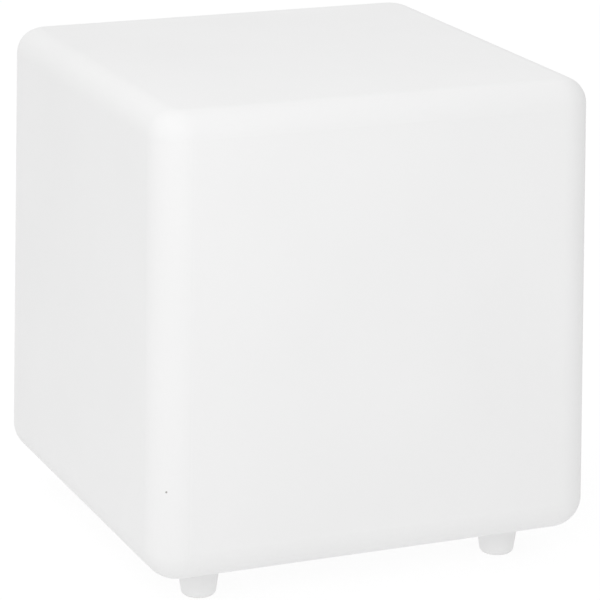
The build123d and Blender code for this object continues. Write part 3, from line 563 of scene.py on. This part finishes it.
def add_prism(mesh, outline, low, high):
    """An upright prism over an outline of (x, y) points."""
    add_solid(mesh, [(x, y, low) for x, y in outline], [(x, y, high) for x, y in outline])


def add_block(mesh, x, y, length, width, low, high):
    """A block round an upright line, its length along x."""
    corners = ((-1, -1), (1, -1), (1, 1), (-1, 1))
    add_prism(mesh, [(x + i * length / 2, y + j * width / 2) for i, j in corners], low, high)


def towards(angle):
    """The flat direction at an angle from x."""
    return Vector((math.cos(angle), math.sin(angle)))


def bar_outline(start, end, width):
    """The outline of a bar with round ends."""
    along = Vector(end) - Vector(start)
    heading = math.atan2(along.y, along.x)
    points = []
    for middle, first in ((end, heading - math.pi / 2), (start, heading + math.pi / 2)):
        for step in range(BAR_END_STEPS + 1):
            points.append(Vector(middle) + width / 2 * towards(first + math.pi * step / BAR_END_STEPS))
    return points


def arc_outline(centre, radius, width, first, last):
    """The outline of a strip along an arc."""
    points = []
    for edge, start, end in ((radius + width / 2, first, last), (radius - width / 2, last, first)):
        for step in range(ARC_STEPS + 1):
            points.append(centre + edge * towards(start + (end - start) * step / ARC_STEPS))
    return points


def round_outline(centre, radius, sides):
    """The points of a regular outline round a centre."""
    return [centre + radius * towards(math.tau * side / sides) for side in range(sides)]


def dish_floor(node, radius):
    """The height of a button's dished face at a distance from its middle."""
    ball = (DISH_RADIUS ** 2 + DISH_DEPTH ** 2) / (2 * DISH_DEPTH)
    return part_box(node)[0].z + DISH_DEPTH - ball + math.sqrt(ball ** 2 - radius ** 2)


def add_icon(button, outlines):
    """A button's symbol: prisms over the outlines, from under its dished face to just above it."""
    low = dish_floor(button, ICON_RADIUS) - ICON_RISE
    high = dish_floor(button, 0.0) + ICON_RISE
    mesh = bmesh.new()
    for outline in outlines:
        add_prism(mesh, outline, low, high)
    add_piece(button + "_icon", mesh, ICON_PRINT, button)


def make_power_icon():
    """The broken ring and bar of the power button, raised in its dish, upright from the front."""
    middle = centre_of("power_button").to_2d()
    front = -math.pi / 2
    gap = math.radians(POWER_GAP)
    ring = arc_outline(middle, ICON_RADIUS, ICON_LINE, front + gap, front + math.tau - gap)
    outer = middle + POWER_BAR_OUTER * towards(front)
    inner = middle + POWER_BAR_INNER * towards(front)
    add_icon("power_button", [ring, bar_outline(outer, inner, ICON_LINE)])


def make_mode_icon():
    """The small sun of the mode button: a ring with eight rays, raised in its dish."""
    middle = centre_of("mode_button").to_2d()
    outlines = [arc_outline(middle, SUN_RING_RADIUS, SUN_RING_LINE, 0.0, SUN_RING_TURN)]
    for ray in range(SUN_RAYS):
        heading = towards(math.tau / SUN_RAYS * ray)
        inner = middle + SUN_RAY_INNER * heading
        outlines.append(bar_outline(inner, middle + SUN_RAY_OUTER * heading, SUN_RAY_LINE))
    add_icon("mode_button", outlines)


def make_flap_ribs():
    """Three low grip ribs across the free end of the port flap, on its outer face."""
    low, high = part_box("port_flap")
    mesh = bmesh.new()
    for rib in range(RIB_COUNT):
        y = high.y - RIB_PITCH * (rib + 1)
        outline = bar_outline((-RIB_LENGTH / 2, y), (RIB_LENGTH / 2, y), RIB_WIDTH)
        add_prism(mesh, outline, low.z - RIB_HEIGHT, low.z + RIB_HEIGHT)
    add_piece("port_flap_ribs", mesh, MATERIALS["rubber"], "port_flap")


def make_vent_ridges():
    """A ring of ridges and a hub on the vent plug's face, where the air gets out between them."""
    middle = centre_of("vent_plug").to_2d()
    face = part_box("vent_plug")[0].z
    low, high = face - VENT_RIDGE_RISE, face + VENT_RIDGE_RISE
    mesh = bmesh.new()
    for ridge in range(VENT_RIDGES):
        heading = towards(math.tau / VENT_RIDGES * ridge)
        inner = middle + VENT_RIDGE_INNER * heading
        outer = middle + VENT_RIDGE_OUTER * heading
        add_prism(mesh, bar_outline(inner, outer, VENT_RIDGE_WIDTH), low, high)
    add_prism(mesh, round_outline(middle, VENT_HUB_RADIUS, VENT_HUB_SIDES), low, high)
    add_piece("vent_plug_ridges", mesh, NODE_MATERIALS["vent_plug"], "cube")


def make_chip_legs():
    """The controller chip's legs: bent strips that reach from its long sides down to the board."""
    low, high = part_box("controller_chip")
    middle = (low + high) / 2
    knee = middle.z - low.z
    # A leg from the side, as (reach from the chip, rise from the board): over its top and back
    outline = [(-LEG_THICKNESS, knee + LEG_THICKNESS),
               (LEG_SHOULDER + LEG_THICKNESS, knee + LEG_THICKNESS),
               (LEG_ANKLE + LEG_THICKNESS, LEG_THICKNESS),
               (LEG_TOE, LEG_THICKNESS),
               (LEG_TOE, 0.0),
               (LEG_ANKLE, 0.0),
               (LEG_SHOULDER, knee),
               (-LEG_THICKNESS, knee)]
    mesh = bmesh.new()
    for leg in range(LEG_COUNT):
        left = middle.x + LEG_PITCH * (leg - (LEG_COUNT - 1) / 2) - LEG_WIDTH / 2
        right = left + LEG_WIDTH
        for side, away in ((low.y, -1), (high.y, 1)):
            profile = [(side + away * reach, low.z + rise) for reach, rise in outline]
            add_solid(mesh, [(left, y, z) for y, z in profile], [(right, y, z) for y, z in profile])
    add_piece("controller_chip_legs", mesh, MATERIALS["stainless"], "cube")


def make_resistors():
    """Rows of small resistors on the control board, with tinned ends."""
    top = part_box("control_board")[1].z
    low = top - RESISTOR_END_STEP
    high = top + RESISTOR_HEIGHT
    length = RESISTOR_LENGTH - RESISTOR_END
    end_width = RESISTOR_WIDTH + 2 * RESISTOR_END_STEP
    bodies = bmesh.new()
    ends = bmesh.new()
    for first, step, count in RESISTOR_ROWS:
        for i in range(count):
            x = first[0] + step[0] * i
            y = first[1] + step[1] * i
            add_block(bodies, x, y, length, RESISTOR_WIDTH, low, high)
            for side in (-1, 1):
                add_block(ends, x + side * length / 2, y, RESISTOR_END, end_width,
                          low, high + RESISTOR_END_STEP)
    add_piece("board_resistors", bodies, MATERIALS["black_plastic"], "cube")
    add_piece("board_resistor_ends", ends, MATERIALS["stainless"], "cube")


def islands(node):
    """The boxes of a node's separate solids, as (lowest corner, highest corner)."""
    mesh = bmesh.new()
    mesh.from_mesh(frame["nodes"][node].data)
    bmesh.ops.remove_doubles(mesh, verts=mesh.verts, dist=WELD_DISTANCE)
    left = set(mesh.verts)
    boxes = []
    while left:
        queue = [left.pop()]
        found = []
        while queue:
            vertex = queue.pop()
            found.append(vertex.co.copy())
            near = {edge.other_vert(vertex) for edge in vertex.link_edges} & left
            left -= near
            queue.extend(near)
        boxes.append([Vector([pick(axis) for axis in zip(*found)]) for pick in (min, max)])
    mesh.free()
    return sorted(boxes, key=lambda box: [round(corner, ORDER_DIGITS) for corner in box[0].xy])


def make_phosphor():
    """A shallow dome of phosphor on the face of each diode."""
    mesh = bmesh.new()
    for low, high in islands("led_chips"):
        middle = ((low + high) / 2).to_2d()
        base = high.z - PHOSPHOR_SINK
        loops = []
        for ring in range(PHOSPHOR_RINGS):
            slope = math.pi / 2 * ring / PHOSPHOR_RINGS
            height = base + PHOSPHOR_RISE * math.sin(slope)
            outline = round_outline(middle, PHOSPHOR_RADIUS * math.cos(slope), PHOSPHOR_SIDES)
            loops.append([mesh.verts.new((x, y, height)) for x, y in outline])
        crown = mesh.verts.new((*middle, base + PHOSPHOR_RISE))
        mesh.faces.new(loops[0])
        for lower, upper in zip(loops, loops[1:]):
            add_wall(mesh, lower, upper)
        rim = loops[-1]
        for i in range(PHOSPHOR_SIDES):
            mesh.faces.new((rim[i - 1], rim[i], crown))
    # All but the flat bases, which have as many corners as a ring has sides
    for face in mesh.faces:
        face.smooth = len(face.verts) < PHOSPHOR_SIDES
    add_piece("led_phosphor", mesh, PHOSPHOR, "cube")


# ---- Stage ----
def seen_directly(nodes, links):
    """1 where the camera, a mirror or clear plastic sees the surface, 0 where it only gives light."""
    path = nodes.new("ShaderNodeLightPath")
    total = path.outputs["Is Camera Ray"]
    for output in ("Is Glossy Ray", "Is Transmission Ray"):
        larger = nodes.new("ShaderNodeMath")
        larger.operation = "MAXIMUM"
        links.new(total, larger.inputs[0])
        links.new(path.outputs[output], larger.inputs[1])
        total = larger.outputs["Value"]
    return total


def between(nodes, links, factor, low, high):
    """A value that goes from low to high, each a number or a socket, as the factor goes from 0 to 1."""
    node = nodes.new("ShaderNodeMapRange")
    for name, end in (("To Min", low), ("To Max", high)):
        if isinstance(end, bpy.types.NodeSocket):
            links.new(end, node.inputs[name])
        else:
            node.inputs[name].default_value = end
    links.new(factor, node.inputs["Value"])
    return node.outputs["Result"]


def make_floor():
    """A white sheet under the cube: it keeps the shadow, lights the cube and is open from below."""
    mesh = bpy.data.meshes.new("floor_sheet")
    sheet = bmesh.new()
    bmesh.ops.create_grid(sheet, x_segments=FLOOR_CELLS, y_segments=FLOOR_CELLS, size=FLOOR_SIZE / 2)
    sheet.to_mesh(mesh)
    sheet.free()
    floor = bpy.data.objects.new("floor_sheet", mesh)
    bpy.context.scene.collection.objects.link(floor)
    made = Recipe("floor_white")
    nodes = made.nodes
    links = made.links
    seen = seen_directly(nodes, links)
    made.set(Base_Color=between(nodes, links, seen, FLOOR_COLOUR, FLOOR_SEEN_COLOUR),
             Emission_Strength=between(nodes, links, seen, FLOOR_GLOW, FLOOR_SEEN_GLOW),
             Emission_Color=WHITE, Roughness=FLOOR_ROUGHNESS, Specular_IOR_Level=0.0)
    clear = nodes.new("ShaderNodeBsdfTransparent")
    choice = nodes.new("ShaderNodeMixShader")
    side = nodes.new("ShaderNodeNewGeometry")
    links.new(side.outputs["Backfacing"], choice.inputs["Fac"])
    links.new(made.shader.outputs["BSDF"], choice.inputs[1])
    links.new(clear.outputs["BSDF"], choice.inputs[2])
    links.new(choice.outputs["Shader"], nodes["Material Output"].inputs["Surface"])
    mesh.materials.append(made.material)


def make_surround():
    """The surround: white to the camera, glass and metal; as light it is brightest above."""
    world = bpy.data.worlds.new("surround")
    bpy.context.scene.world = world
    world.use_nodes = True
    nodes = world.node_tree.nodes
    links = world.node_tree.links
    background = nodes["Background"]
    background.inputs["Color"].default_value = (*rgb(WHITE), 1.0)
    nearness = nodes.new("ShaderNodeVectorMath")
    nearness.operation = "DOT_PRODUCT"
    nearness.inputs[1].default_value = TOWARDS_BRIGHTEST
    links.new(nodes.new("ShaderNodeTexCoord").outputs["Generated"], nearness.inputs[0])
    given = between(nodes, links, nearness.outputs["Value"], SURROUND_LOWEST, SURROUND_BRIGHTEST)
    strength = between(nodes, links, seen_directly(nodes, links), given, WHITE)
    links.new(strength, background.inputs["Strength"])


def make_lamp():
    """One large soft lamp at the front left, above the cube."""
    lamp = bpy.data.lights.new("soft_lamp", "AREA")
    lamp.shape = "DISK"
    lamp.size = LAMP_SIZE
    lamp.energy = LAMP_WATTS
    holder = bpy.data.objects.new("soft_lamp", lamp)
    holder.location = LAMP_PLACE
    holder.rotation_mode = "QUATERNION"
    holder.rotation_quaternion = (Vector(LAMP_PLACE) - Vector(LAMP_AIM)).to_track_quat("Z", "Y")
    bpy.context.scene.collection.objects.link(holder)


def make_camera():
    """The camera where the photograph was taken from."""
    yaw, pitch, roll = (math.radians(value) for value in (CAMERA_YAW, CAMERA_PITCH, CAMERA_ROLL))
    ahead = Vector((math.sin(yaw) * math.cos(pitch),
                    math.cos(yaw) * math.cos(pitch),
                    -math.sin(pitch)))
    right = Vector((math.cos(yaw), -math.sin(yaw), 0.0))
    up = right.cross(ahead)
    tilted_right = math.cos(roll) * right + math.sin(roll) * up
    tilted_up = math.cos(roll) * up - math.sin(roll) * right
    data = bpy.data.cameras.new("camera")
    data.sensor_width = SENSOR_WIDTH
    data.lens = FOCAL_PIXELS / PHOTO_PIXELS * SENSOR_WIDTH
    data.clip_end = CAMERA_REACH
    camera = bpy.data.objects.new("camera", data)
    turn = Matrix((tilted_right, tilted_up, -ahead)).transposed().to_4x4()
    camera.matrix_world = Matrix.Translation(CAMERA_PLACE) @ turn
    bpy.context.scene.collection.objects.link(camera)
    bpy.context.scene.camera = camera


dress_nodes()
make_power_icon()
make_mode_icon()
make_flap_ribs()
make_vent_ridges()
make_chip_legs()
make_resistors()
make_phosphor()
make_floor()
make_surround()
make_lamp()
make_camera()
bpy.context.scene.view_settings.view_transform = "Standard"
